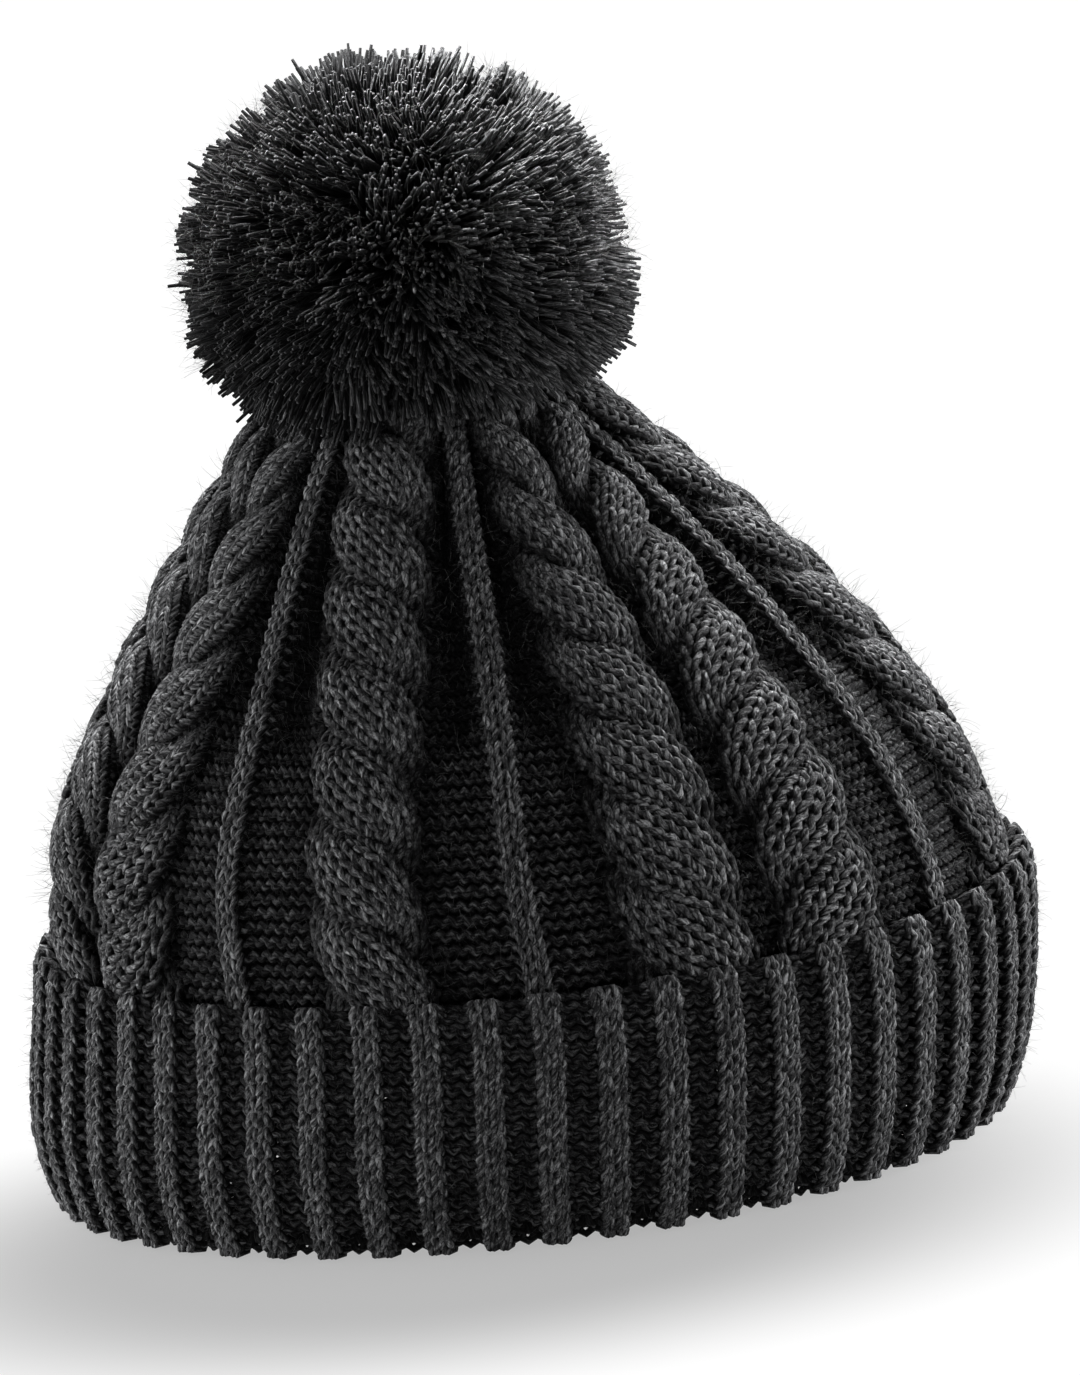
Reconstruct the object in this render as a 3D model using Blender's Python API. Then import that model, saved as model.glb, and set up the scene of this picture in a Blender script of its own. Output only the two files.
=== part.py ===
"""Cable-knit beanie with a turned-up rib cuff and a cut-yarn pompom.

The hat stands on the fold of its cuff at z = 0, with +Z up and the wearer's face towards -Y. Every
ring of the knitted tube is a level circle. Its centre follows one soft lean, so the plies keep the
same clearance all the way up. The crown, the band and the cuff are one knitted tube on the real
hat. Here each ply is its own closed body.
"""

import math

import bpy

MM = 0.001
SEGMENTS = 48

# Knitted tube
PLY = 4.0 * MM  # thickness of the crown's and the band's fabric
GAP = 0.4 * MM  # clearance between neighbouring pieces
BAND_RADIUS = 100.5 * MM  # outside of the inner ply
FOLD_HEIGHT = 4.5 * MM  # solid part of the cuff's bottom fold
CROWN_START = 46.0 * MM
CUFF_HEIGHT = 55.0 * MM
CUFF_INNER_RADIUS = 101.0 * MM
CUFF_EDGE_RADIUS = 1.6 * MM
FOOT_INNER_RADIUS = 96.8 * MM
FOOT_OUTER_RADIUS = 99.5 * MM

# Height and radius of the cuff's outer face, from the foot to the start of its rounded top edge
CUFF_FACE = ((0.0, 99.5), (2.0, 101.6), (6.0, 103.5), (18.0, 106.0), (35.0, 106.5), (52.0, 105.6))
# Height and radius of the crown's outer face, from the hem behind the cuff to the gathered top
CROWN_FACE = (
    (46.0, 100.5),
    (66.0, 99.8),
    (86.0, 93.5),
    (116.0, 73.7),
    (145.0, 49.5),
    (166.0, 28.5),
    (180.0, 5.5),
)
# Height and sideways place of the tube's centre line
LEAN = (
    (0.0, -3.9),
    (18.0, -1.9),
    (50.0, 2.1),
    (76.0, -0.2),
    (116.0, -2.9),
    (156.0, -8.0),
    (180.0, -9.4),
)

CROWN_RINGS = 18
CUFF_RINGS = 9
BAND_RINGS = 6
CROWN_HOLE_RADIUS = 4.2 * MM
CROWN_HOLE_DEPTH = 3.0 * MM

# Pompom and its tie; the tie turns about the middle of the gathered hole
PIVOT_Z = 180.0 * MM
PIVOT_X = -9.4 * MM
POMPOM_CENTRE_Z = 195.5 * MM
POMPOM_RADIUS = 49.5 * MM
POMPOM_HALF_HEIGHT = 41.0 * MM
DISH_RISE = 5.0 * MM  # height of the dish's apex above the pivot
DISH_SLOPE = math.radians(17)
CHANNEL_RADIUS = 2.8 * MM
CHAMBER_RADIUS = 8.5 * MM
CHAMBER_HALF_HEIGHT = 6.5 * MM
BINDING_RADIUS = 6.2 * MM
BINDING_HALF_HEIGHT = 4.2 * MM
BINDING_TURNS = 3
TAIL_RADIUS = 1.2 * MM
TAIL_BOTTOM_Z = PIVOT_Z - 4.9 * MM
TAIL_TWIST = math.radians(50)  # for each millimetre of height
KNOT_CENTRE_Z = 170.6 * MM
KNOT_RADIUS = 5.0 * MM
KNOT_HALF_HEIGHT = 4.0 * MM
END_RADIUS = 1.1 * MM
END_LENGTH = 17.0 * MM

GATHER_RADIUS = 3.3 * MM
GATHER_YARN_RADIUS = 0.6 * MM
GATHER_Z = 178.9 * MM

# Seam and label, at the back of the inside
SEAM_RADIUS = 1.4 * MM
SEAM_BOTTOM_Z = 6.0 * MM
SEAM_TOP_Z = 156.0 * MM
SEAM_STEPS = 32
LABEL_ANGLES = (math.radians(72), math.radians(87))
LABEL_BOTTOM_Z = 12.0 * MM
LABEL_TOP_Z = 42.0 * MM
LABEL_THICKNESS = 0.7 * MM
LABEL_COLUMNS = 6
LABEL_ROWS = 6
THREAD_RADIUS = 0.35 * MM
THREAD_WAVES = 6
THREAD_WAVE_HEIGHT = 0.6 * MM

YARN_COLOUR = (0.045, 0.046, 0.049)
LABEL_COLOUR = (0.62, 0.61, 0.58)
THREAD_COLOUR = (0.05, 0.05, 0.055)


def clear_scene():
    for old in list(bpy.data.objects):
        bpy.data.objects.remove(old, do_unlink=True)


def material(name, colour, roughness):
    made = bpy.data.materials.new(name)
    made.use_nodes = True
    shader = made.node_tree.nodes["Principled BSDF"]
    shader.inputs["Base Color"].default_value = (*colour, 1.0)
    shader.inputs["Roughness"].default_value = roughness
    shader.inputs["Metallic"].default_value = 0.0
    return made


def smooth_through(points, at):
    """Reads a smooth curve through (x, y) points, in millimetres, at x = at metres. Returns metres."""
    x = min(max(at / MM, points[0][0]), points[-1][0])
    last = len(points) - 1
    low = max(i for i in range(last) if points[i][0] <= x)

    def slope(i):
        before, after = points[max(i - 1, 0)], points[min(i + 1, last)]
        return (after[1] - before[1]) / (after[0] - before[0])

    (x0, y0), (x1, y1) = points[low], points[low + 1]
    width = x1 - x0
    t = (x - x0) / width
    value = (2 * t**3 - 3 * t**2 + 1) * y0 + (t**3 - 2 * t**2 + t) * width * slope(low)
    value += (3 * t**2 - 2 * t**3) * y1 + (t**3 - t**2) * width * slope(low + 1)
    return value * MM


def lean(z):
    return smooth_through(LEAN, z)


def spread(low, high, count):
    """The count evenly spaced values from low to high."""
    return [low + (high - low) * i / (count - 1) for i in range(count)]


def arc(centre, radii, start, end, count):
    """Points (radius, height) on an elliptical arc, between two angles in degrees."""
    return [
        (centre[0] + radii[0] * math.cos(a), centre[1] + radii[1] * math.sin(a))
        for a in spread(math.radians(start), math.radians(end), count)
    ]


def finish_mesh(name, points, faces, look, sharp_angle=math.radians(50)):
    mesh = bpy.data.meshes.new(name)
    mesh.from_pydata(points, [], faces)
    mesh.validate()
    mesh.shade_smooth()
    mesh.set_sharp_from_angle(angle=sharp_angle)
    mesh.materials.append(look)
    made = bpy.data.objects.new(name, mesh)
    bpy.context.collection.objects.link(made)
    return made


def turned(name, outline, centre_x, look, segments=SEGMENTS, origin=(0.0, 0.0, 0.0), lobe=None):
    """One closed body turned from an outline of (radius, height) points.

    The outline runs up the outer side, over the top and down the inner side. It closes on itself,
    or ends on the axis at both ends. centre_x(height) places each ring, and lobe(angle, height)
    scales its radius.
    """
    on_axis = outline[0][0] == 0 or outline[-1][0] == 0
    points, rings = [], []
    for radius, height in outline:
        ring = []
        for i in range(1 if radius == 0 else segments):
            angle = 2 * math.pi * i / segments
            wide = radius * (lobe(angle, height) if lobe else 1)
            ring.append(len(points))
            x = centre_x(height) + wide * math.cos(angle) - origin[0]
            points.append((x, wide * math.sin(angle) - origin[1], height - origin[2]))
        rings.append(ring)
    pairs = list(zip(rings, rings[1:]))
    if not on_axis:
        pairs.append((rings[-1], rings[0]))
    faces = []
    for below, above in pairs:
        for i in range(segments):
            corner = [below[i % len(below)], below[(i + 1) % segments % len(below)]]
            corner += [above[(i + 1) % segments % len(above)], above[i % len(above)]]
            faces.append(tuple(dict.fromkeys(corner)))
    made = finish_mesh(name, points, faces, look)
    made.location = origin
    return made


def tube(name, route, radius, look, origin=(0.0, 0.0, 0.0)):
    """A round yarn along a smooth route of points, with closed ends."""
    curve = bpy.data.curves.new(name, "CURVE")
    curve.dimensions = "3D"
    curve.bevel_depth = radius
    curve.bevel_resolution = 2
    curve.use_fill_caps = True
    line = curve.splines.new("POLY")
    line.points.add(len(route) - 1)
    for point, place in zip(line.points, route):
        point.co = (*[place[i] - origin[i] for i in range(3)], 1.0)
    line.use_smooth = True
    curve.materials.append(look)
    made = bpy.data.objects.new(name, curve)
    made.location = origin
    bpy.context.collection.objects.link(made)
    return made


def inner_outline(face, thickness):
    """The outline that lies one ply inside a face of (radius, height) points."""
    inside = []
    for i, (radius, height) in enumerate(face):
        before, after = face[max(i - 1, 0)], face[min(i + 1, len(face) - 1)]
        along = (after[0] - before[0], after[1] - before[1])
        length = math.hypot(*along)
        inside.append((radius - thickness * along[1] / length, height + thickness * along[0] / length))
    return inside


def crown_faces():
    """The crown's outer and inner faces, as (radius, height) points from the hem to the top."""
    heights = spread(CROWN_START, PIVOT_Z, CROWN_RINGS)
    outer = [(smooth_through(CROWN_FACE, z), z) for z in heights]
    inner = inner_outline(outer, PLY)
    inner[0] = (outer[0][0] - PLY, CROWN_START)
    inner = [point for point in inner if point[0] > CROWN_HOLE_RADIUS + 1.5 * MM]
    return outer, inner


def crown(look):
    outer, inner = crown_faces()
    rim = [(CROWN_HOLE_RADIUS, PIVOT_Z - 0.5 * MM), (CROWN_HOLE_RADIUS, PIVOT_Z - CROWN_HOLE_DEPTH)]
    turned("crown_cable_knit", outer + rim + inner[::-1], lean, look)


def band(look):
    heights = spread(FOLD_HEIGHT + GAP, CROWN_START - GAP, BAND_RINGS)
    outer = [(BAND_RADIUS, z) for z in heights]
    inner = [(BAND_RADIUS - PLY, z) for z in reversed(heights)]
    turned("band_inner_ply", outer + inner, lean, look)


def cuff(look):
    edge_z = CUFF_HEIGHT - CUFF_EDGE_RADIUS
    face_top = CUFF_FACE[-1][0] * MM
    face = [(radius * MM, z * MM) for z, radius in CUFF_FACE[:3]]
    heights = spread(CUFF_FACE[3][0] * MM, face_top, CUFF_RINGS - len(face))
    face += [(smooth_through(CUFF_FACE, z), z) for z in heights]
    outer_top = face[-1][0]
    middle = (outer_top + CUFF_INNER_RADIUS) / 2
    edge = arc((middle, edge_z - 1.0 * MM), (outer_top - middle, CUFF_EDGE_RADIUS + 1.0 * MM), 30, 150, 4)
    inside = [(CUFF_INNER_RADIUS, z) for z in spread(face_top, FOLD_HEIGHT, CUFF_RINGS - 2)]
    fold = [(FOOT_INNER_RADIUS, FOLD_HEIGHT), (FOOT_INNER_RADIUS, 0.0)]
    turned("cuff_turn_up", face + edge + inside + fold, lean, look)


def pompom(look):
    def centre(_):
        return PIVOT_X

    apex_z = PIVOT_Z + DISH_RISE
    middle = (0.0, POMPOM_CENTRE_Z)
    outer = arc(middle, (POMPOM_RADIUS, POMPOM_HALF_HEIGHT), -37, 90, 16)
    outer[-1] = (0.0, POMPOM_CENTRE_Z + POMPOM_HALF_HEIGHT)
    dish = [(r, apex_z - r * math.tan(DISH_SLOPE)) for r in (CHANNEL_RADIUS, 15 * MM, 26 * MM, 37 * MM)]
    mouth_angle = -math.degrees(math.acos(CHANNEL_RADIUS / CHAMBER_RADIUS))
    chamber = arc(middle, (CHAMBER_RADIUS, CHAMBER_HALF_HEIGHT), 90, mouth_angle, 10)
    chamber[0] = (0.0, POMPOM_CENTRE_Z + CHAMBER_HALF_HEIGHT)
    outline = chamber + dish + outer
    turned("pompom_yarn", outline, centre, look, origin=(PIVOT_X, 0.0, PIVOT_Z))


def binding(look):
    def centre(_):
        return PIVOT_X

    bottom = POMPOM_CENTRE_Z - BINDING_HALF_HEIGHT
    top = POMPOM_CENTRE_Z + BINDING_HALF_HEIGHT
    outline = [(0.0, bottom)]
    steps = BINDING_TURNS * 4
    for i in range(steps + 1):
        swell = abs(math.sin(math.pi * BINDING_TURNS * i / steps))
        outline.append((BINDING_RADIUS * (0.8 + 0.2 * swell), bottom + (top - bottom) * i / steps))
    outline.append((0.0, top))
    pivot = (PIVOT_X, 0.0, PIVOT_Z)
    turned("pompom_binding", outline, centre, look, segments=20, origin=pivot)


def tie_tails(look):
    """Two yarns twisted into one cord, from the knot to the binding."""

    def centre(_):
        return PIVOT_X

    def two_plies(angle, height):
        turn = TAIL_TWIST * (height - TAIL_BOTTOM_Z) / MM
        return 0.85 + 0.15 * math.cos(2 * (angle - turn))

    top = POMPOM_CENTRE_Z - BINDING_HALF_HEIGHT - GAP
    outline = [(0.0, TAIL_BOTTOM_Z)]
    outline += [(TAIL_RADIUS, z) for z in spread(TAIL_BOTTOM_Z, top, 26)]
    outline.append((0.0, top))
    pivot = (PIVOT_X, 0.0, PIVOT_Z)
    turned("pompom_tie_tails", outline, centre, look, segments=12, origin=pivot, lobe=two_plies)


def tie_knot(look):
    def centre(_):
        return PIVOT_X

    def three_wraps(angle, height):
        return 0.9 + 0.1 * math.cos(3 * angle + (height - KNOT_CENTRE_Z) / MM)

    outline = arc((0.0, KNOT_CENTRE_Z), (KNOT_RADIUS, KNOT_HALF_HEIGHT), -90, 90, 11)
    outline[0] = (0.0, KNOT_CENTRE_Z - KNOT_HALF_HEIGHT)
    outline[-1] = (0.0, KNOT_CENTRE_Z + KNOT_HALF_HEIGHT)
    pivot = (PIVOT_X, 0.0, PIVOT_Z)
    turned("tie_knot", outline, centre, look, segments=24, origin=pivot, lobe=three_wraps)
    for name, side in (("tie_end_left", -1), ("tie_end_right", 1)):
        start_z = KNOT_CENTRE_Z - KNOT_HALF_HEIGHT - END_RADIUS - GAP
        route = []
        for t in spread(0.0, 1.0, 9):
            x = PIVOT_X + side * (1.6 * MM + END_LENGTH * 0.35 * t**1.5)
            route.append((x, END_LENGTH * 0.1 * t * side, start_z - END_LENGTH * 0.92 * t))
        tube(name, route, END_RADIUS, look, origin=pivot)


def gather_yarn(look):
    def centre(_):
        return PIVOT_X

    ring = arc((GATHER_RADIUS, GATHER_Z), (GATHER_YARN_RADIUS, GATHER_YARN_RADIUS), 0, 315, 8)
    turned("crown_gather_yarn", ring, centre, look, segments=24)


def inner_radius(z):
    """Radius of the hat's inside at one height."""
    if z <= CROWN_START:
        return BAND_RADIUS - PLY
    _, inner = crown_faces()
    for (r0, z0), (r1, z1) in zip(inner, inner[1:]):
        if z0 <= z <= z1:
            return r0 + (r1 - r0) * (z - z0) / (z1 - z0)
    return inner[-1][0]


def back_seam(look):
    route = []
    for z in spread(SEAM_BOTTOM_Z, SEAM_TOP_Z, SEAM_STEPS):
        route.append((lean(z), inner_radius(z) - 1.5 * SEAM_RADIUS - GAP, z))
    tube("back_seam", route, SEAM_RADIUS, look)


def label_wall(angle, z, depth):
    """A point at one depth inside the band's inner face."""
    radius = (BAND_RADIUS - PLY) * math.cos(math.pi / SEGMENTS) - GAP - depth
    return (lean(z) + radius * math.cos(angle), radius * math.sin(angle), z)


def care_label(look):
    angles = spread(*LABEL_ANGLES, LABEL_COLUMNS)
    heights = spread(LABEL_BOTTOM_Z, LABEL_TOP_Z, LABEL_ROWS)
    points = [label_wall(a, z, d) for d in (0.0, LABEL_THICKNESS) for z in heights for a in angles]
    layer = LABEL_ROWS * LABEL_COLUMNS

    def at(side, row, column):
        return side * layer + row * LABEL_COLUMNS + column

    faces = []
    for row in range(LABEL_ROWS - 1):
        for column in range(LABEL_COLUMNS - 1):
            corner = ((row, column), (row + 1, column), (row + 1, column + 1), (row, column + 1))
            faces.append([at(0, *c) for c in reversed(corner)])
            faces.append([at(1, *c) for c in corner])
    edge = [(0, c) for c in range(LABEL_COLUMNS)]
    edge += [(r, LABEL_COLUMNS - 1) for r in range(1, LABEL_ROWS)]
    edge += [(LABEL_ROWS - 1, c) for c in reversed(range(LABEL_COLUMNS - 1))]
    edge += [(r, 0) for r in reversed(range(1, LABEL_ROWS - 1))]
    for here, there in zip(edge, edge[1:] + edge[:1]):
        faces.append([at(0, *here), at(1, *here), at(1, *there), at(0, *there)])
    finish_mesh("care_label", points, faces, look)


def label_thread(look):
    depth = LABEL_THICKNESS + GAP + THREAD_RADIUS
    route = []
    for t in spread(0.0, 1.0, THREAD_WAVES * 6 + 1):
        angle = LABEL_ANGLES[0] + (LABEL_ANGLES[1] - LABEL_ANGLES[0]) * (0.06 + 0.88 * t)
        wave = THREAD_WAVE_HEIGHT * math.sin(2 * math.pi * THREAD_WAVES * t)
        route.append(label_wall(angle, LABEL_TOP_Z - 2.5 * MM + wave, depth))
    tube("label_thread", route, THREAD_RADIUS, look)


def main():
    clear_scene()
    yarn = material("charcoal_yarn", YARN_COLOUR, 0.9)
    crown(yarn.copy())
    band(yarn.copy())
    cuff(yarn.copy())
    gather_yarn(yarn.copy())
    pompom(yarn.copy())
    binding(yarn.copy())
    tie_tails(yarn.copy())
    tie_knot(yarn.copy())
    back_seam(yarn.copy())
    care_label(material("label_tape", LABEL_COLOUR, 0.6))
    label_thread(material("label_thread", THREAD_COLOUR, 0.7))


main()
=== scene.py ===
"""Looks for the knit beanie: knitting made of yarn, a cut-yarn pompom, and a plain studio.

Lengths are in millimetres until a mesh or an object is made. An angle on the hat runs from the
front, which is -Y, towards +X. A fabric point is given by its wale (column of stitches), its row,
and its height above the surface it is knitted on.
"""

import math

import bpy
import numpy as np
from mathutils import Matrix, Vector
from mathutils.bvhtree import BVHTree


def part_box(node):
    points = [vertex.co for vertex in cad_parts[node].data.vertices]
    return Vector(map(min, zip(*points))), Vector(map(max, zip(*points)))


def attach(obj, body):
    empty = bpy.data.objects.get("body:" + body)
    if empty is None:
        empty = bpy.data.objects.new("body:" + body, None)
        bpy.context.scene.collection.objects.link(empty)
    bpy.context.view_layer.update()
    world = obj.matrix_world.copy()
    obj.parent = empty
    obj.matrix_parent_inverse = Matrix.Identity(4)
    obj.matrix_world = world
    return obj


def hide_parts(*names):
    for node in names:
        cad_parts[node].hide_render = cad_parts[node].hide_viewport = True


MM = 0.001
BAKE_LAYER = "OFBake"

# Camera, in metres and degrees
LOOK_AT = Vector((0.0086, 0.0, 0.0972))
CAMERA_DISTANCE = 3.65
CAMERA_ELEVATION = 11.0
CAMERA_ROLL = 6.45
VIEW_HEIGHT = 0.288
SENSOR_HEIGHT = 36.0

# Yarn and stitches
YARN_RADIUS = 0.76
ROPE_YARN_RADIUS = 0.93
LOOP_DEPTH = 0.85
PURL_LOOP_DEPTH = 1.20
LOOP_SPREAD = 0.25  # in wales
LOOP_REACH = 0.82  # in rows
GROUND_REACH = 0.74
HEAD_RISE = 0.1  # how far the head of a loop stands over its foot, as a share of its depth
UNEVEN_ROW = 0.10  # how far a stitch strays along its column
UNEVEN_HEIGHT = 0.10
UNEVEN_RADIUS = 0.05  # as a share of the yarn's radius
POINTS_PER_STITCH = 10
YARN_SIDES = 8
PLIES = 3
PLY_TWIST = 2 * math.pi / 8.0  # turn of the fibres for each millimetre of yarn
SIDE_SHADE = 0.15  # painted shade: how light the sides of a yarn are painted, next to its outer face
HOLLOW_SHADE = 0.08  # painted shade: how light the fabric's deepest hollows are painted, next to its ridges
BLOCK = 10  # segments of yarn in one block of the bake layout
BLOCK_MARGIN = 0.03

# Crown
ROW_PITCH = 3.15
FIRST_ROW = 1.5
CROWN_ROWS = 51
REPEATS = 4
STRAND_WALES = 4
ROPE_WALES = 2 * STRAND_WALES
PANELS = (
    *(("rib", 2), ("purl", 6), ("rope_left", ROPE_WALES), ("purl", 6), ("rib", 2), ("purl", 5)),
    *(("rope_left_wide", ROPE_WALES), ("valley", 2), ("rope_right_wide", ROPE_WALES), ("purl", 5)),
)
WALE_WIDTHS = {
    "rib": 0.90,
    "purl": 0.95,
    "rope_left": 1.06,
    "rope_left_wide": 1.24,
    "rope_right_wide": 1.24,
    "valley": 0.55,
}
GATHER_POWERS = {"rib": 0.1, "rope_left": 0.1, "rope_left_wide": 0.8, "rope_right_wide": 0.8}
MOST_KNIT = 0.94  # share of the way round that knitted panels may take
FIRST_RIB_ANGLE = math.radians(-37.2)
FRONT_STRETCH = 0.08
FRONT_STRETCH_ANGLE = math.radians(10)
NATURAL_WIDTH = 0.72  # unstretched width of the ground, as a share of its width at the cuff
PLEAT_SHARE = 0.8
FULL_RELIEF_RADIUS = 36.0
PURL_HEIGHT = -5.4
RIB_HEIGHT = -2.2
ROPE_BASE = -3.9
ROPE_SWING = 2.4
ROPE_CROWN = 2.1
ROPE_ROWS = 6
FIRST_CROSSING_ROW = 4.1
STRAND_WIDTH = 0.94  # as a share of half a rope, between crossings
STRAND_SWELL = 0.42  # how much is added at a crossing
ROPE_EDGE_SHADE = 0.6  # painted shade: how much darker a strand is painted at its edges
GROUND_EDGE_SHADE = 0.65  # painted shadow: how much darker the ground is painted beside a rope
GROUND_EDGE_WALES = 1.6
CROWN_UNEVEN_ROW = 0.12
ROPE_UNEVEN_HEIGHT = 0.08

# Cuff
RIB_EDGE = 1.32  # in wales from a rib's middle
RIB_SIDE = 0.56
CUFF_WALES = 208
CUFF_PITCH = 3.05
CUFF_RIB_HEIGHT = 0.3
CUFF_PURL_HEIGHT = -2.9
CUFF_YARN_RADIUS = 0.86
CUFF_UNEVEN_ROW = 0.08
CUFF_UNEVEN_ANGLE = 0.0008
BAND_RELIEF = 0.3  # share of the outside's relief that the inner ply keeps
BAND_DEPTH = 2.7  # from the inner ply's outer face in to the line that its knitting follows
CUFF_RIB_SQUEEZE = 0.08
CUFF_DEPTHS = (-3.2, 0.6)  # heights where the painted shade is darkest, in the hollows, and lightest, on the ridges
CROWN_DEPTHS = (-6.3, -1.0)
ROPE_DEPTHS = (-5.2, 0.6)
CUFF_TWIST = math.tan(math.radians(3.5))
FLOOR_GAP = 0.25
CUFF_FIRST_ANGLE = math.radians(-1.7)

# Lining
LINING_STEP = 1.2
LINING_DROP = 1.5  # how far it lies behind the ground
ROPE_LINING_DROP = 1.6
LINING_THICKNESS = 0.8
INSIDE_SHADE = 0.7  # painted shade: how light the lining is painted on the inside of the hat; its outer face behind the stitches is painted darkest

# Pompom: lengths, scatter and unevenness of its strands and tufts are shares of its radius
POMPOM_HALF_HEIGHT = 48.0
POMPOM_SECTORS = 4
STRANDS = 9800
STRAND_RADIUS = 0.52
STRAND_POINTS = 6
STRAND_TAPER = (1.0, 1.0, 1.0, 1.0, 0.95, 0.7)
STRAND_SIDES = 5
STRAND_ROOT = 0.42  # share of its way out where a strand starts
STRAND_LENGTH = 0.965
STRAND_UNEVEN = 0.045
STRAND_SCATTER = 0.035
LONG_STRANDS = 0.06  # share of the strands that stand out by up to LONG_BY
LONG_BY = 0.05
SHORTEST_STRAND = 4.0
TUFTS = 260
TUFT_SCATTER = 0.05
TUFT_PULLS = (0.2, 1.0)  # how firmly a tuft draws its strands together
TUFT_UNEVEN = 0.045
TUFT_LENGTHS = (-0.10, 0.035)
TUFT_SWAY = 1.8
STRAND_SWAY = 1.1
NOD_ROOM = 13.0  # strands that end nearer the crown than this stay with the crown
CROWN_TOUCH = 1.0
CROWN_GAP = 0.3
TRIM_ROUNDS = 12
TRIM = 0.92

# Tie, seam and label
TIE_RADIUS = 0.9
TAIL_RADIUS = 0.6
TAIL_TURN = 6.0
END_RADIUS = 0.58
END_REACH = 0.5
SEAM_RADIUS = 0.7
SEAM_REACH = 0.65
SEAM_TURN = 9.0
KNOT_LEANS = (0, 60, 120)  # in degrees
KNOT_SHIFTS = (-1.3, 0.0, 1.3)
LABEL_ANGLES = (math.radians(72.3), math.radians(86.7))
LABEL_COLUMNS = 12
LABEL_ROWS = 12
TAPE_THICKNESS = 0.24
THREAD_RADIUS = 0.32
THREAD_WAVES = 6
THREAD_SPAN = (0.07, 0.93)  # of the label's width

# Fuzz
FUZZ_RADIUS = 0.045
FUZZ_POINTS = 5
FUZZ_SPREAD = 0.8
FUZZ_CURL = 0.45
FUZZ_TIP = 0.35  # share of a fibre's thickness that is left at its tip
CROWN_FUZZ = 16000
CUFF_FUZZ = 8000
POMPOM_FUZZ = 7000
FLOOR_ROOM = 0.3

# Studio, in metres and watts
SKY_TURN = (-0.65, 0.7)  # Y of the directions between which the sky brightens
SKY_LEVELS = (0.07, 0.32)
FLOOR_HALF = 30.0
FLOOR_GREY = 0.45
FLOOR_GLOW = (0.43, 0.95)  # painted light of the floor: low beside the hat, as a painted shadow, and high far from it
GLOW_REACH = (0.07, 0.17)
# Middle of the floor's painted shadow, where its painted glow is lowest.
SHADOW_PLACE = (-0.02, -0.07, 0.0)
LIGHTS = (  # name, place, target, width, height, power, spread in degrees, and what it lights
    ("rim_left", (-1.0, 0.1, 0.2), (0, 0, 0.08), 1.0, 0.6, 26, 180, "hat"),
    ("rim_right", (1.0, 0.08, 0.18), (0, 0, 0.06), 1.0, 0.5, 28, 180, "hat"),
    ("top", (0.06, 0.3, 1.1), (0, 0, 0.2), 0.5, 0.5, 24, 60, "pompom"),
    ("key", (-0.4, -1.7, 1.3), (0, 0, 0.12), 0.5, 0.5, 1.5, 180, "all"),
    ("fill", (-0.2, -1.4, 0.06), (0, 0, 0.03), 0.8, 0.1, 2.5, 180, "all"),
    ("back", (0.12, 0.6, 0.9), (0, 0, 0.1), 0.5, 0.5, 10, 60, "hat"),
)

RANDOM = np.random.default_rng(20)


# ---------------- frame and camera

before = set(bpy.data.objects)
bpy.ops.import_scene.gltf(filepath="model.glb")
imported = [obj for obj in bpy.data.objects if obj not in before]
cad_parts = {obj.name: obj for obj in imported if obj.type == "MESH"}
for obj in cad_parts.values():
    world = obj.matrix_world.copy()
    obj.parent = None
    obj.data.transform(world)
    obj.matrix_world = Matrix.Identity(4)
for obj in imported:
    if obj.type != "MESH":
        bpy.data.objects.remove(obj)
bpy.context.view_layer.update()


def make_camera():
    tilt, roll = math.radians(CAMERA_ELEVATION), math.radians(CAMERA_ROLL)
    forward = Vector((0, math.cos(tilt), -math.sin(tilt)))
    up = Vector((0, math.sin(tilt), math.cos(tilt)))
    right = Vector((1, 0, 0))
    rolled_up = up * math.cos(roll) + right * math.sin(roll)
    rolled_right = right * math.cos(roll) - up * math.sin(roll)
    data = bpy.data.cameras.new("camera")
    data.sensor_fit = "VERTICAL"
    data.sensor_height = SENSOR_HEIGHT
    data.lens = SENSOR_HEIGHT * CAMERA_DISTANCE / VIEW_HEIGHT
    data.clip_end = 100
    camera = bpy.data.objects.new("camera", data)
    bpy.context.scene.collection.objects.link(camera)
    place = Matrix.Translation(LOOK_AT - forward * CAMERA_DISTANCE)
    camera.matrix_world = place @ Matrix((rolled_right, rolled_up, -forward)).transposed().to_4x4()
    bpy.context.scene.camera = camera


make_camera()


# ---------------- surfaces read from the CAD nodes


def cad_tree(node):
    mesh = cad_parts[node].data
    corners = [vertex.co for vertex in mesh.vertices]
    return BVHTree.FromPolygons(corners, [tuple(face.vertices) for face in mesh.polygons])


def turned_outline(node, low, high, step=1.0):
    """Heights, centres and outer radii of a turned node, from rays along X."""
    tree, far = cad_tree(node), 1.0
    rows = []
    for z in np.arange(low, high, step):
        sides = []
        for side in (-1, 1):
            hit = tree.ray_cast(Vector((side * far, 0, z * MM)), Vector((-side, 0, 0)))[0]
            sides.append(hit.x / MM)
        rows.append((z, sum(sides) / 2, (sides[1] - sides[0]) / 2))
    return np.array(rows).T


def smoothed(values, reach=3):
    """A running mean that keeps both ends in place."""
    padded = np.pad(values, reach, mode="reflect", reflect_type="odd")
    return np.convolve(padded, np.ones(2 * reach + 1) / (2 * reach + 1), mode="valid")


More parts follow.
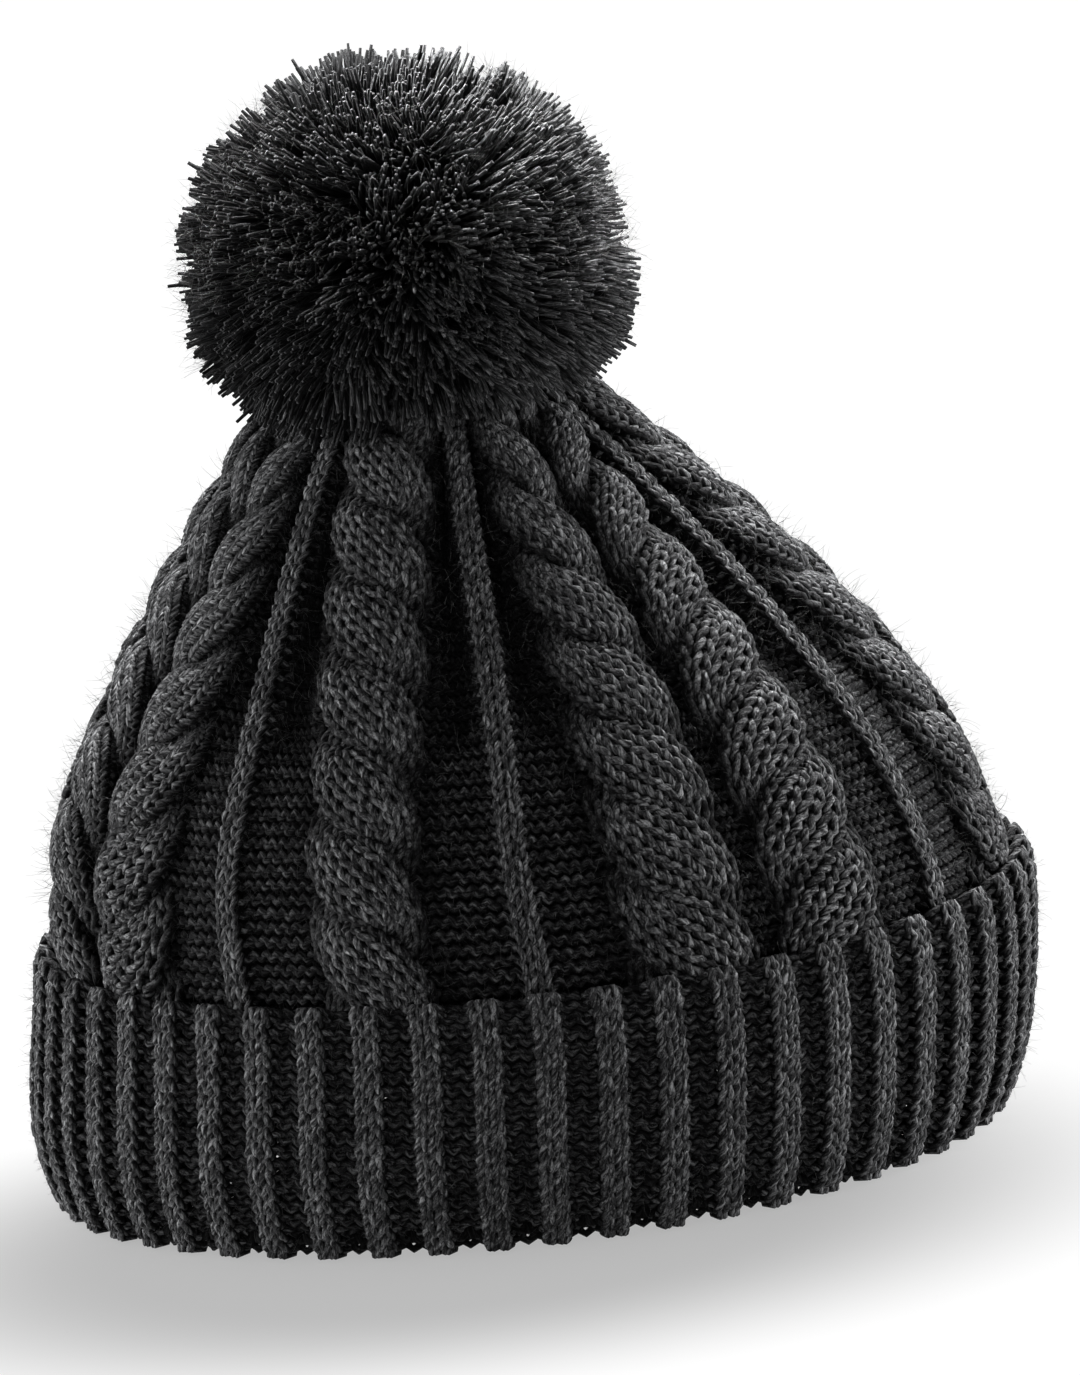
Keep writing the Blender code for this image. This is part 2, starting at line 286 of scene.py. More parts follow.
class Section:
    """A line that the fabric follows from one end to the other, turned round the hat.

    side is 1 where the outside lies to the right of the line, and -1 where it lies to its left.
    """

    def __init__(self, radius, z, side):
        step = np.hypot(np.diff(radius), np.diff(z))
        self.along = np.concatenate([[0], np.cumsum(step)])
        self.radius, self.z = radius, z
        out_r = side * np.gradient(z, self.along)
        out_z = -side * np.gradient(radius, self.along)
        length = np.hypot(out_r, out_z)
        self.out_r, self.out_z = out_r / length, out_z / length
        self.length = self.along[-1]

    def radius_at(self, along):
        return np.interp(along, self.along, self.radius)

    def place(self, angle, along, height):
        """Points and outward directions."""
        radius, z = self.radius_at(along), np.interp(along, self.along, self.z)
        out_r = np.interp(along, self.along, self.out_r)
        out_z = np.interp(along, self.along, self.out_z)
        r = radius + height * out_r
        x = np.interp(z, LEAN_Z, LEAN_X) + r * np.sin(angle)
        points = np.stack([x, -r * np.cos(angle), z + height * out_z], -1)
        outward = np.stack([out_r * np.sin(angle), -out_r * np.cos(angle), out_z], -1)
        return points, outward


def rounded_line(corners, step=0.5):
    """A smooth line through a few (radius, height) corners, as evenly spaced points."""
    corners = np.array(corners, float)
    ahead = np.vstack([2 * corners[0] - corners[1], corners, 2 * corners[-1] - corners[-2]])
    pieces = []
    for i in range(len(corners) - 1):
        a, b, c, d = ahead[i : i + 4]
        t = np.linspace(0, 1, 20, endpoint=False)[:, None]
        bend = (2 * a - 5 * b + 4 * c - d) * t**2 + (3 * b - a - 3 * c + d) * t**3
        pieces.append(b + (c - a) * t / 2 + bend / 2)
    dense = np.vstack([*pieces, corners[-1:]])
    along = np.concatenate([[0], np.cumsum(np.hypot(*np.diff(dense, axis=0).T))])
    even = np.linspace(0, along[-1], int(along[-1] / step) + 2)
    return np.interp(even, along, dense[:, 0]), np.interp(even, along, dense[:, 1])


crown_low, crown_high = (corner.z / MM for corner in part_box("crown_cable_knit"))
cuff_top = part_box("cuff_turn_up")[1].z / MM
crown_z, crown_x, crown_r = turned_outline("crown_cable_knit", crown_low + 0.3, crown_high - 0.4)
cuff_z, cuff_x, cuff_r = turned_outline("cuff_turn_up", 1.0, cuff_top - 0.5)
crown_r = smoothed(crown_r)
LEAN_Z = np.concatenate([cuff_z, crown_z[crown_z > cuff_z[-1]]])
LEAN_X = smoothed(np.concatenate([cuff_x, crown_x[crown_z > cuff_z[-1]]]), 5)
CROWN = Section(crown_r, crown_z, 1)


def cuff_radius(z):
    return float(np.interp(z, cuff_z, cuff_r))


def make_cuff_section():
    """The folded band, from its top edge down the outside, round the fold and up the inside."""
    inset = CUFF_YARN_RADIUS + LOOP_DEPTH
    top = cuff_top - inset
    outside = [(cuff_radius(z) - inset, z) for z in (48, 38, 28, 18, 9)]
    edge = [(outside[0][0] - 1.6, top), (outside[0][0] - 0.3, top - 2.2)]
    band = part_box("band_inner_ply")[1].y / MM - BAND_DEPTH
    fold = [(cuff_radius(4) - inset - 0.2, 4.2), (cuff_radius(2) - 2.2, inset + 0.1)]
    inside = [(band - 0.8, 3.4), (band - 1.3, 8.0), (band, 20.0), (band, 47.0)]
    radius, z = rounded_line(edge + outside + fold + inside)
    return Section(radius, np.maximum(z, inset + FLOOR_GAP), -1)


CUFF = make_cuff_section()


# ---------------- yarn meshes


def unit(vectors):
    return vectors / np.maximum(np.linalg.norm(vectors, axis=-1, keepdims=True), 1e-9)


def wobble(shape, period):
    """Smooth noise of about unit size along the last axis."""
    length = shape[-1]
    knots = RANDOM.normal(size=(*shape[:-1], int(length / period) + 3))
    at = np.arange(length) / period
    low = at.astype(int)
    t = at - low
    ease = t * t * (3 - 2 * t)
    return knots[..., low] * (1 - ease) + knots[..., low + 1] * ease


def add_values(mesh, fibres, raised, uv):
    """What the yarn's material reads at each point, and the layout that the bake uses."""
    fibre = mesh.attributes.new("fibre", "FLOAT_VECTOR", "POINT")
    fibre.data.foreach_set("vector", fibres.astype(np.float32).reshape(-1))
    # The painted shade that the material darkens the yarn by.
    height = mesh.attributes.new("raised", "FLOAT", "POINT")
    height.data.foreach_set("value", raised.astype(np.float32))
    layer = mesh.uv_layers.new(name=BAKE_LAYER)
    layer.data.foreach_set("uv", uv.astype(np.float32).reshape(-1))


def as_piece(mesh, look):
    mesh.shade_smooth()
    mesh.materials.append(look)
    piece = bpy.data.objects.new(mesh.name, mesh)
    bpy.context.scene.collection.objects.link(piece)
    return piece


class Yarns:
    """Round yarns gathered for one mesh."""

    def __init__(self, sides=YARN_SIDES):
        self.sides = sides
        self.points, self.fibres, self.raised, self.faces, self.caps = [], [], [], [], []
        self.count = 0

    def add(self, paths, normals, radii, raised, closed=False):
        """paths is (yarns, points, 3), normals gives an outward direction at each point, and radii fits
        (yarns, points). raised sets the painted shade: it is 0, darkest, in the hollows of the fabric and 1
        on its ridges, at the yarn's middle and for each millimetre further out.
        """
        yarns, length, _ = paths.shape
        radii = np.broadcast_to(radii, (yarns, length))
        if closed:
            ahead = np.roll(paths, -1, 1) - np.roll(paths, 1, 1)
        else:
            ahead = np.gradient(paths, axis=1)
        ahead = unit(ahead)
        across = unit(np.cross(ahead, normals))
        out = np.cross(across, ahead)
        turn = 2 * np.pi * np.arange(self.sides) / self.sides
        ring = across[:, :, None] * np.cos(turn)[:, None] + out[:, :, None] * np.sin(turn)[:, None]
        self.points.append((paths[:, :, None] + ring * radii[:, :, None, None]).reshape(-1, 3))
        step = np.linalg.norm(np.diff(paths, axis=1), axis=-1)
        along = np.concatenate([np.zeros((yarns, 1)), np.cumsum(step, 1)], 1)
        # Painted shade by depth: points lower in the fabric are painted darker than its ridges.
        middle, slope = raised
        # Painted shade on each yarn's sides, which are darker than its outer face.
        face = SIDE_SHADE + (1 - SIDE_SHADE) * np.maximum(np.sin(turn), 0)
        lift = np.clip(middle[:, :, None] + slope * radii[:, :, None] * np.sin(turn), 0, 1)
        self.raised.append((lift * face).reshape(-1))
        fibre_turn = turn + PLY_TWIST * along[:, :, None]
        start = RANDOM.uniform(0, 900, (yarns, 1, 1))
        fibre_place = np.broadcast_to(along[:, :, None] + start, fibre_turn.shape)
        fibre = np.stack([np.cos(fibre_turn), np.sin(fibre_turn), fibre_place], -1)
        self.fibres.append(fibre.reshape(-1, 3))
        first = self.count + np.arange(yarns * length).reshape(yarns, length) * self.sides
        here = first if closed else first[:, :-1]
        there = np.roll(first, -1, 1) if closed else first[:, 1:]
        side = np.arange(self.sides)
        after = (side + 1) % self.sides
        here, there = here[..., None], there[..., None]
        quads = np.stack([here + side, here + after, there + after, there + side], -1)
        self.faces.append(quads.reshape(-1, self.sides, 4))
        if not closed:
            self.caps.append(first[:, 0, None] + side[::-1])
            self.caps.append(first[:, -1, None] + side)
        self.count += yarns * length * self.sides

    def layout(self, segments):
        """A place in the bake's square for each segment's quads, in blocks that don't overlap."""
        grid = math.ceil(math.sqrt(math.ceil(segments / BLOCK)))
        index = np.arange(segments)
        block, step = index // BLOCK, index % BLOCK
        full = 1 - 2 * BLOCK_MARGIN
        low_u = (block % grid + BLOCK_MARGIN + full * step / BLOCK) / grid
        wide, tall = full / BLOCK / grid, full / self.sides / grid
        low_v = ((block // grid)[:, None] + BLOCK_MARGIN) / grid + tall * np.arange(self.sides)
        low_u = np.broadcast_to(low_u[:, None], low_v.shape)
        corners = [(0, 0), (0, tall), (wide, tall), (wide, 0)]
        return np.stack([np.stack([low_u + du, low_v + dv], -1) for du, dv in corners], 2)

    def mesh(self, name, look):
        quads = np.concatenate(self.faces)
        uv = self.layout(len(quads)).reshape(-1, 2)
        corners = quads.reshape(-1)
        starts = np.arange(quads.shape[0] * self.sides) * 4
        if self.caps:
            caps = np.concatenate(self.caps)
            starts = np.concatenate([starts, len(corners) + np.arange(len(caps)) * self.sides])
            corners = np.concatenate([corners, caps.reshape(-1)])
            uv = np.concatenate([uv, np.broadcast_to(uv[:1], (caps.size, 2))])
        made = bpy.data.meshes.new(name)
        points = np.concatenate(self.points) * MM
        made.vertices.add(len(points))
        made.vertices.foreach_set("co", points.astype(np.float32).reshape(-1))
        made.loops.add(len(corners))
        made.loops.foreach_set("vertex_index", corners.astype(np.int32))
        made.polygons.add(len(starts))
        made.polygons.foreach_set("loop_start", starts.astype(np.int32))
        made.update(calc_edges=True)
        add_values(made, np.concatenate(self.fibres), np.concatenate(self.raised), uv)
        return as_piece(made, look)


# ---------------- materials


class Graph:
    """The nodes of one material or world."""

    def __init__(self, owner):
        owner.use_nodes = True
        self.nodes, self.links = owner.node_tree.nodes, owner.node_tree.links

    def fill(self, node, inputs):
        """Each input is set to a plain value or linked to a socket."""
        for name, value in inputs.items():
            if isinstance(value, bpy.types.NodeSocket):
                self.links.new(value, node.inputs[name])
            else:
                node.inputs[name].default_value = value

    def add(self, kind, inputs, **settings):
        node = self.nodes.new("ShaderNode" + kind)
        for name, value in settings.items():
            setattr(node, name, value)
        self.fill(node, inputs)
        return node.outputs

    def attribute(self, name):
        return self.add("Attribute", {}, attribute_name=name)

    def ramp(self, value, stops):
        made = self.nodes.new("ShaderNodeValToRGB")
        while len(made.color_ramp.elements) < len(stops):
            made.color_ramp.elements.new(0.5)
        for element, (place, shade) in zip(made.color_ramp.elements, stops):
            element.position = place
            element.color = (*shade, 1.0)
        self.fill(made, {"Fac": value})
        return made.outputs["Color"]

    def noise(self, vector, scale, detail, roughness=0.5):
        """Noise with a scale of its own along each axis of the vector."""
        place = self.add("Mapping", {"Scale": scale, "Vector": vector})["Vector"]
        look = {"Scale": 1.0, "Detail": detail, "Roughness": roughness, "Vector": place}
        return self.add("TexNoise", look)["Fac"]

    def value_range(self, value, low, high, to_low, to_high):
        limits = {"From Min": low, "From Max": high, "To Min": to_low, "To Max": to_high}
        return self.add("MapRange", {**limits, "Value": value}, interpolation_type="SMOOTHSTEP")["Result"]

    def math(self, operation, *values):
        return self.add("Math", dict(enumerate(values)), operation=operation)["Value"]


def yarn_material(name, dark, middle, light, fibre_size=1.0):
    """Melange yarn: pale and dark fibres twisted along its plies, with painted shade in the grooves between
    its plies and in the fabric's hollows.
    """
    made = bpy.data.materials.new(name)
    graph = Graph(made)
    fibre = graph.attribute("fibre")["Vector"]
    across, length = 1.6 / fibre_size, 0.35 / fibre_size
    streaks = graph.noise(fibre, (across, across, length), 3.0, 0.65)
    shades = graph.ramp(streaks, ((0.38, dark), (0.50, middle), (0.66, light)))
    clouds = graph.value_range(graph.noise(fibre, (0.3, 0.3, 0.2), 2.0), 0.3, 0.7, 0.6, 1.4)
    parts = graph.add("SeparateXYZ", {"Vector": fibre})
    # Painted shade along the grooves between the plies; the same values also shape the bump.
    ply_turn = graph.math("MULTIPLY", graph.math("ARCTAN2", parts["Y"], parts["X"]), PLIES / 2)
    ply = graph.math("ABSOLUTE", graph.math("COSINE", ply_turn))
    ply_shade = graph.value_range(ply, 0.0, 0.6, 0.6, 1.05)
    # Painted shade in the fabric's hollows, read from the mesh's shade attribute.
    painted_hollow_shade = graph.value_range(graph.attribute("raised")["Fac"], 0.0, 1.0, HOLLOW_SHADE, 1.0)
    level = graph.math("MULTIPLY", graph.math("MULTIPLY", clouds, ply_shade), painted_hollow_shade)
    blend = graph.add("VectorMath", {"Vector": shades, "Scale": level}, operation="SCALE")
    height = graph.math("ADD", streaks, ply_shade)
    bump = graph.add("Bump", {"Strength": 0.6, "Distance": 0.25 * MM, "Height": height})
    surface = {
        "Base Color": blend["Vector"],
        "Normal": bump["Normal"],
        "Roughness": 0.88,
        "Specular IOR Level": 0.05,
        "Sheen Weight": 0.01,
        "Sheen Roughness": 0.45,
        "Sheen Tint": (0.86, 0.88, 0.92, 1.0),
    }
    graph.fill(graph.nodes["Principled BSDF"], surface)
    return made


CHARCOAL = ((0.006, 0.006, 0.0064), (0.034, 0.0342, 0.0353), (0.15, 0.1515, 0.155))
knit_look = yarn_material("knit_yarn", *CHARCOAL)
pompom_look = yarn_material("pompom_yarn", *CHARCOAL, fibre_size=0.7)
lining_look = yarn_material("lining_yarn", *CHARCOAL)
hidden_looks = {name: yarn_material(name, *CHARCOAL) for name in ("tie_yarn", "seam_yarn")}
THREAD = ((0.02,) * 3, (0.05,) * 3, (0.1,) * 3)
hidden_looks["label_thread"] = yarn_material("label_thread", *THREAD, fibre_size=0.4)
fuzz_look = yarn_material("fuzz_fibre", (0.02,) * 3, (0.06,) * 3, (0.25,) * 3)


def tape_material():
    """Pale satin tape, with its weave showing as a fine cross-hatch."""
    made = bpy.data.materials.new("label_tape")
    graph = Graph(made)
    weave = graph.noise(graph.add("TexCoord", {})["Object"], (3000, 3000, 600), 2.0)
    shades = graph.ramp(weave, ((0.3, (0.50, 0.49, 0.46)), (0.7, (0.68, 0.67, 0.64))))
    graph.fill(graph.nodes["Principled BSDF"], {"Base Color": shades, "Roughness": 0.55})
    return made


tape_look = tape_material()


# ---------------- stitches


def course(first_wale, wales, rows, closed=False, reach=LOOP_REACH):
    """Wales, rows and depths of the loops in each row. Depth is about 1 at heads and feet, -1 at legs."""
    steps = wales * POINTS_PER_STITCH + (0 if closed else 1)
    t = 2 * np.pi * np.arange(steps) / POINTS_PER_STITCH
    wale = first_wale + t / (2 * np.pi) + LOOP_SPREAD * np.sin(2 * t)
    row = rows[:, None] - reach * np.cos(t)
    depth = np.cos(2 * t) - HEAD_RISE * np.cos(t)
    return np.broadcast_to(wale, row.shape), row, np.broadcast_to(depth, row.shape)


def raised_over(height, low, high):
    """How far a height is from low, in the hollows, to high, on the ridges, and the change for each mm."""
    return (height - low) / (high - low), 1 / (high - low)


def uneven(shape, size):
    """Strays by about size, changing every stitch and a half."""
    return size * wobble(shape, POINTS_PER_STITCH * 1.5)


# ---------------- cuff


def rib_rise(from_middle):
    """1 over the middle of a rib of two wales, falling to 0 at its sides."""
    rise = np.clip((RIB_EDGE - np.abs(from_middle)) / RIB_SIDE, 0, 1)
    return rise * rise * (3 - 2 * rise)


def cuff_rows(name, rows, share=1.0):
    """share is how much of the outside's relief these rows keep."""
    wale, row, depth = course(0, CUFF_WALES, rows, closed=True)
    along = 1.0 + row * CUFF_PITCH + uneven(row.shape, CUFF_UNEVEN_ROW)
    from_middle = np.mod(wale - 1.0 + 2.0, 4.0) - 2.0
    rise = rib_rise(from_middle)
    height = share * (CUFF_PURL_HEIGHT + (CUFF_RIB_HEIGHT - CUFF_PURL_HEIGHT) * rise)
    height = height - (2 * rise - 1) * LOOP_DEPTH * depth + uneven(row.shape, UNEVEN_HEIGHT)
    pull = CUFF_RIB_SQUEEZE * np.sin(np.pi * from_middle / 2)
    angle = CUFF_FIRST_ANGLE + 2 * np.pi * (wale - pull) / CUFF_WALES
    angle = angle + CUFF_TWIST * along / CUFF.radius.max() + uneven(row.shape, CUFF_UNEVEN_ANGLE)
    points, outward = CUFF.place(angle, along, height)
    yarns = Yarns()
    radii = CUFF_YARN_RADIUS * (1 + uneven(row.shape, UNEVEN_RADIUS))
    yarns.add(points, outward, radii, raised_over(height, *CUFF_DEPTHS), closed=True)
    piece = yarns.mesh(name, knit_look)
    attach(piece, "hat")
    return piece


def make_cuff():
    count = int((CUFF.length - 1.5) / CUFF_PITCH)
    rows = np.arange(0, count)
    outside = CUFF.along[np.argmin(CUFF.z)] / CUFF_PITCH
    for number, some in enumerate(np.array_split(rows[rows < outside], 4), 1):
        piece = cuff_rows(f"cuff_rib_rows_{number}", some)
        if number == 1:
            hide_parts("cuff_turn_up")
    for number, some in enumerate(np.array_split(rows[rows >= outside], 3), 1):
        piece = cuff_rows(f"band_rib_rows_{number}", some, BAND_RELIEF)
        if number == 1:
            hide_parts("band_inner_ply")


# ---------------- crown


def panel_table(kinds):
    """Width of the panels of these kinds up to each wale edge of one repeat."""
    widths = [WALE_WIDTHS[kind] * (kind in kinds) for kind, wales in PANELS for _ in range(wales)]
    return np.concatenate([[0.0], np.cumsum(widths)])


GROUND_WIDTH = panel_table(("purl", "valley"))
KNIT_WIDTHS = {kind: panel_table((kind,)) for kind in GATHER_POWERS}
REPEAT_WALES = len(GROUND_WIDTH) - 1
FULL_WIDTH = GROUND_WIDTH[-1] + sum(table[-1] for table in KNIT_WIDTHS.values())


def gather(along):
    """Shares of their full width that each knitted kind and the ground keep at a height."""
    share = CROWN.radius_at(along) / CROWN.radius_at(0.0)
    knit = {kind: share**power for kind, power in GATHER_POWERS.items()}
    total = sum(knit[kind] * KNIT_WIDTHS[kind][-1] for kind in knit)
    squeeze = (1 + (total / (MOST_KNIT * share * FULL_WIDTH)) ** 8) ** (-1 / 8)
    knit = {kind: size * squeeze for kind, size in knit.items()}
    return knit, (share * FULL_WIDTH - total * squeeze) / GROUND_WIDTH[-1]


def crown_angle(wale, along):
    turns, part = np.divmod(wale, REPEAT_WALES)
    knit, ground = gather(along)
    edges = np.arange(REPEAT_WALES + 1)
    width = ground * np.interp(part, edges, GROUND_WIDTH)
    total = ground * GROUND_WIDTH[-1]
    for kind, table in KNIT_WIDTHS.items():
        width = width + knit[kind] * np.interp(part, edges, table)
        total = total + knit[kind] * table[-1]
    even = FIRST_RIB_ANGLE + 2 * np.pi / REPEATS * (turns + width / total)
    return even + FRONT_STRETCH * np.sin(even - FRONT_STRETCH_ANGLE)


def wale_size(along):
    """Width of a wale in the ground at full stretch."""
    return 2 * np.pi * CROWN.radius_at(along) / (REPEATS * FULL_WIDTH)


def row_place(row):
    return FIRST_ROW + row * ROW_PITCH


def relief(along):
    """The fabric lies flatter where the crown is drawn together at its top."""
    return np.clip(CROWN.radius_at(along) / FULL_RELIEF_RADIUS, 0.15, 1.0)


def pleat_depth(wales, along):
    """How far the ground between two knitted panels folds in, where the crown gathers it."""
    full = wales * WALE_WIDTHS["purl"] * wale_size(0.0)
    _, ground = gather(along)
    natural, left = NATURAL_WIDTH * full / 2, ground * full / 2
    return PLEAT_SHARE * np.sqrt(np.maximum(natural**2 - left**2, 0))


def ground_runs():
    """The stretches between ropes: first wale, wales, and for each panel inside its kind, start and size."""
    start, runs, current = 0, [], []
    for kind, wales in PANELS * 2:
        if kind.startswith("rope"):
            if current and 0 < current[0][1] <= REPEAT_WALES:
                runs.append(current)
            current = []
        else:
            current.append((kind, start, wales))
        start += wales
    return runs


def ground_height(run, wale, along):
    """Height of the ground's middle surface, and how much it is knit (1) or purl (-1)."""
    height = np.full_like(wale, PURL_HEIGHT)
    knit = np.full_like(wale, -1.0)
    for kind, start, wales in run:
        inside = np.clip((wale - start) / wales, 0, 1)
        if kind == "rib":
            rise = rib_rise(wale - start - wales / 2)
            height += (RIB_HEIGHT - PURL_HEIGHT) * rise
            knit += 2 * rise
        else:
            height -= pleat_depth(wales, along) * np.sin(np.pi * inside) ** 0.8
    return height * relief(along), knit


def ground_piece(name, run, repeat):
    rows = np.arange(0.5, CROWN_ROWS)
    first, last = run[0][1], run[-1][1] + run[-1][2]
    tuck = 1  # wales that run in under a rope
    wale, row, depth = course(first - tuck, last - first + 2 * tuck, rows, reach=GROUND_REACH)
    along = row_place(row) + uneven(row.shape, CROWN_UNEVEN_ROW)
    height, knit = ground_height(run, wale, along)
    loop = LOOP_DEPTH + (PURL_LOOP_DEPTH - LOOP_DEPTH) * (1 - knit) / 2
    height = height - knit * loop * depth + uneven(row.shape, UNEVEN_HEIGHT)
    angle = crown_angle(wale + repeat * REPEAT_WALES, along)
    points, outward = CROWN.place(angle, along, height)
    yarns = Yarns()
    radii = YARN_RADIUS * (1 + uneven(row.shape, UNEVEN_RADIUS))
    raised, slope = raised_over(height, *CROWN_DEPTHS)
    # Painted shadow on the ground beside each rope.
    from_rope = np.clip(np.minimum(wale - first, last - wale) / GROUND_EDGE_WALES, 0, 1)
    raised = raised * (1 - GROUND_EDGE_SHADE * (1 - from_rope))
    yarns.add(points, outward, radii, (raised, slope))
    piece = yarns.mesh(name, knit_look)
    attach(piece, "hat")
    return piece


class Strand:
    """One of the two strands of a rope, which swap sides every ROPE_ROWS rows."""

    def __init__(self, first, repeat, mirror, phase):
        self.first, self.mirror, self.phase = first + repeat * REPEAT_WALES, mirror, phase
        fine = np.arange(0, CROWN_ROWS, 0.1)
        angle, along, _ = self.place(0.0, fine)
        x = angle * CROWN.radius_at(along)
        self.lengths = np.concatenate([[0], np.cumsum(np.hypot(np.diff(x), np.diff(along)))])
        self.fine = fine

    def row_at(self, length):
        """The crown's row at a length along the strand."""
        return np.interp(length, self.lengths, self.fine)

    def place(self, across, row):
        """A point of the strand: across runs from -1 to 1 over it."""
        along = row_place(row)
        edges = (self.first + wale + 0 * along for wale in (STRAND_WALES, 0, ROPE_WALES))
        middle, left, right = (crown_angle(wale, along) for wale in edges)
        radius = CROWN.radius_at(along)
        half = (right - left) / 2 * radius
        turn = np.pi * (row - FIRST_CROSSING_ROW) / ROPE_ROWS + np.pi / 2 + self.phase
        over = np.sin(turn)
        lean = np.arctan(-self.mirror * half / 2 * over * np.pi / (ROPE_ROWS * ROW_PITCH))
        reach = half * 0.5 * (STRAND_WIDTH + STRAND_SWELL * over**2)
        x = self.mirror * half / 2 * np.cos(turn) + reach * across * np.cos(lean)
        shift = -reach * across * np.sin(lean)
        rise = ROPE_SWING * np.sign(over) * np.abs(over) ** 0.8
        height = ROPE_BASE + rise + ROPE_CROWN * (1 - np.abs(across) ** 2.4)
        return middle + x / radius, along + shift, height * relief(along)


def rope_piece(name, first, repeat, mirror):
    yarns = Yarns()
    for phase in (0.0, np.pi):
        strand = Strand(first, repeat, mirror, phase)
        rows = np.arange(0.5, strand.lengths[-1] / ROW_PITCH - 0.5)
        wale, row, depth = course(0, STRAND_WALES, rows)
        across = 2 * wale / STRAND_WALES - 1
        angle, along, height = strand.place(across, strand.row_at(row * ROW_PITCH))
        along = along + uneven(row.shape, UNEVEN_ROW)
        height = height - LOOP_DEPTH * depth + uneven(row.shape, ROPE_UNEVEN_HEIGHT)
        points, outward = CROWN.place(angle, along, height)
        radii = ROPE_YARN_RADIUS * (1 + uneven(row.shape, UNEVEN_RADIUS))
        raised, slope = raised_over(height, *ROPE_DEPTHS)
        # Painted shade in the creases at each strand's edges.
        raised = raised * (1 - ROPE_EDGE_SHADE * np.minimum(np.abs(across), 1) ** 3)
        yarns.add(points, outward, radii, (raised, slope))
    piece = yarns.mesh(name, knit_look)
    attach(piece, "hat")
    return piece


def make_crown():
    for repeat in range(REPEATS):
        for number, run in enumerate(ground_runs(), 1):
            ground_piece(f"ground_{repeat + 1}_{number}", run, repeat)
        start = 0
        for kind, wales in PANELS:
            if kind.startswith("rope"):
                mirror = -1 if "right" in kind else 1
                rope_piece(f"{kind}_{repeat + 1}", start, repeat, mirror)
            start += wales
    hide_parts("crown_cable_knit")


# ---------------- lining


def grid_layout(columns, rows, low, high):
    """Corners in the bake's square for a grid of quads, between two heights of the square."""
    edge = np.linspace(low, high, rows + 1)
    u, v = np.meshgrid(np.arange(columns) / columns, edge[:-1])
    du, dv = 0.9 / columns, 0.9 * (edge[1] - edge[0])
    corners = ((0, 0), (1, 0), (1, 1), (0, 1))
    return np.stack([np.stack([u + a * du, v + b * dv], -1) for a, b in corners], 2).reshape(-1, 2)


def grid_shell(name, outer, inner, look):
    """A closed shell between two grids of points (rows, columns, 3) that run right round the hat."""
    rows, columns, _ = outer.shape
    points = np.concatenate([outer.reshape(-1, 3), inner.reshape(-1, 3)]) * MM
    index = np.arange(rows * columns).reshape(rows, columns)
    after = np.roll(index, -1, 1)

    def quads(a, b, c, d):
        return np.stack([a, b, c, d], -1).reshape(-1, 4)

    low, high = index[:-1], index[1:]
    faces = [quads(low, after[:-1], after[1:], high)]
    shift = rows * columns
    faces.append(quads(high, after[1:], after[:-1], low) + shift)
    faces.append(quads(index[0] + shift, after[0] + shift, after[0], index[0]))
    faces.append(quads(index[-1], after[-1], after[-1] + shift, index[-1] + shift))
    made = bpy.data.meshes.new(name)
    made.from_pydata(points, [], np.concatenate(faces).tolist())
    bands = ((rows - 1, 0.00, 0.46), (rows - 1, 0.94, 0.48), (1, 0.95, 0.965), (1, 0.975, 0.99))
    uv = np.concatenate([grid_layout(columns, *band) for band in bands])
    # Painted shade: the lining's outer face, behind the stitches, is darkest, and its face inside the hat is
    # lighter.
    add_values(made, points / MM * 0.5, np.repeat([0.0, INSIDE_SHADE], rows * columns), uv)
    return as_piece(made, look)


def make_lining():
    """The back of the fabric, which closes the crown behind its stitches."""
    wales = np.arange(REPEATS * REPEAT_WALES * 2) / 2
    wale, along = np.meshgrid(wales, np.arange(1.0, row_place(CROWN_ROWS), LINING_STEP))
    part = np.mod(wale, REPEAT_WALES)
    height = (ROPE_BASE - ROPE_SWING - ROPE_LINING_DROP) * relief(along)
    for run in ground_runs():
        first, last = run[0][1], run[-1][1] + run[-1][2]
        inside = (part >= first) & (part <= last) | (part + REPEAT_WALES <= last)
        shifted = np.where(part + REPEAT_WALES <= last, part + REPEAT_WALES, part)
        surface, _ = ground_height(run, shifted, along)
        height = np.where(inside, surface - LINING_DROP, height)
    angle = crown_angle(wale, along)
    outer, _ = CROWN.place(angle, along, height)
    inner, _ = CROWN.place(angle, along, height - LINING_THICKNESS)
    piece = grid_shell("crown_lining", outer, inner, lining_look)
    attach(piece, "hat")


# ---------------- pompom


pompom_low, pompom_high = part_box("pompom_yarn")
POMPOM_RADIUS = (pompom_high.x - pompom_low.x) / MM / 2
POMPOM_X = (pompom_high.x + pompom_low.x) / MM / 2
binding_low, binding_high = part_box("pompom_binding")
POMPOM_Z = (binding_low.z + binding_high.z) / MM / 2
POMPOM_MIDDLE = np.array([POMPOM_X, 0, pompom_high.z / MM - POMPOM_HALF_HEIGHT])
POMPOM_SIZE = np.array([POMPOM_RADIUS, POMPOM_RADIUS, POMPOM_HALF_HEIGHT])


def over_crown(points):
    """Distance of points from the crown's face, above it."""
    x = points[..., 0] - np.interp(points[..., 2], LEAN_Z, LEAN_X)
    radius = np.hypot(x, points[..., 1])
    face = np.interp(points[..., 2], crown_z, crown_r, right=0.0)
    slope = np.interp(points[..., 2], crown_z, CROWN.out_r, right=0.6)
    return (radius - face) * slope


def even_directions(count):
    turn = np.pi * (1 + 5**0.5) * (np.arange(count) + 0.5)
    rise = 1 - 2 * (np.arange(count) + 0.5) / count
    flat = np.sqrt(1 - rise**2)
    return np.stack([flat * np.cos(turn), flat * np.sin(turn), rise], -1)


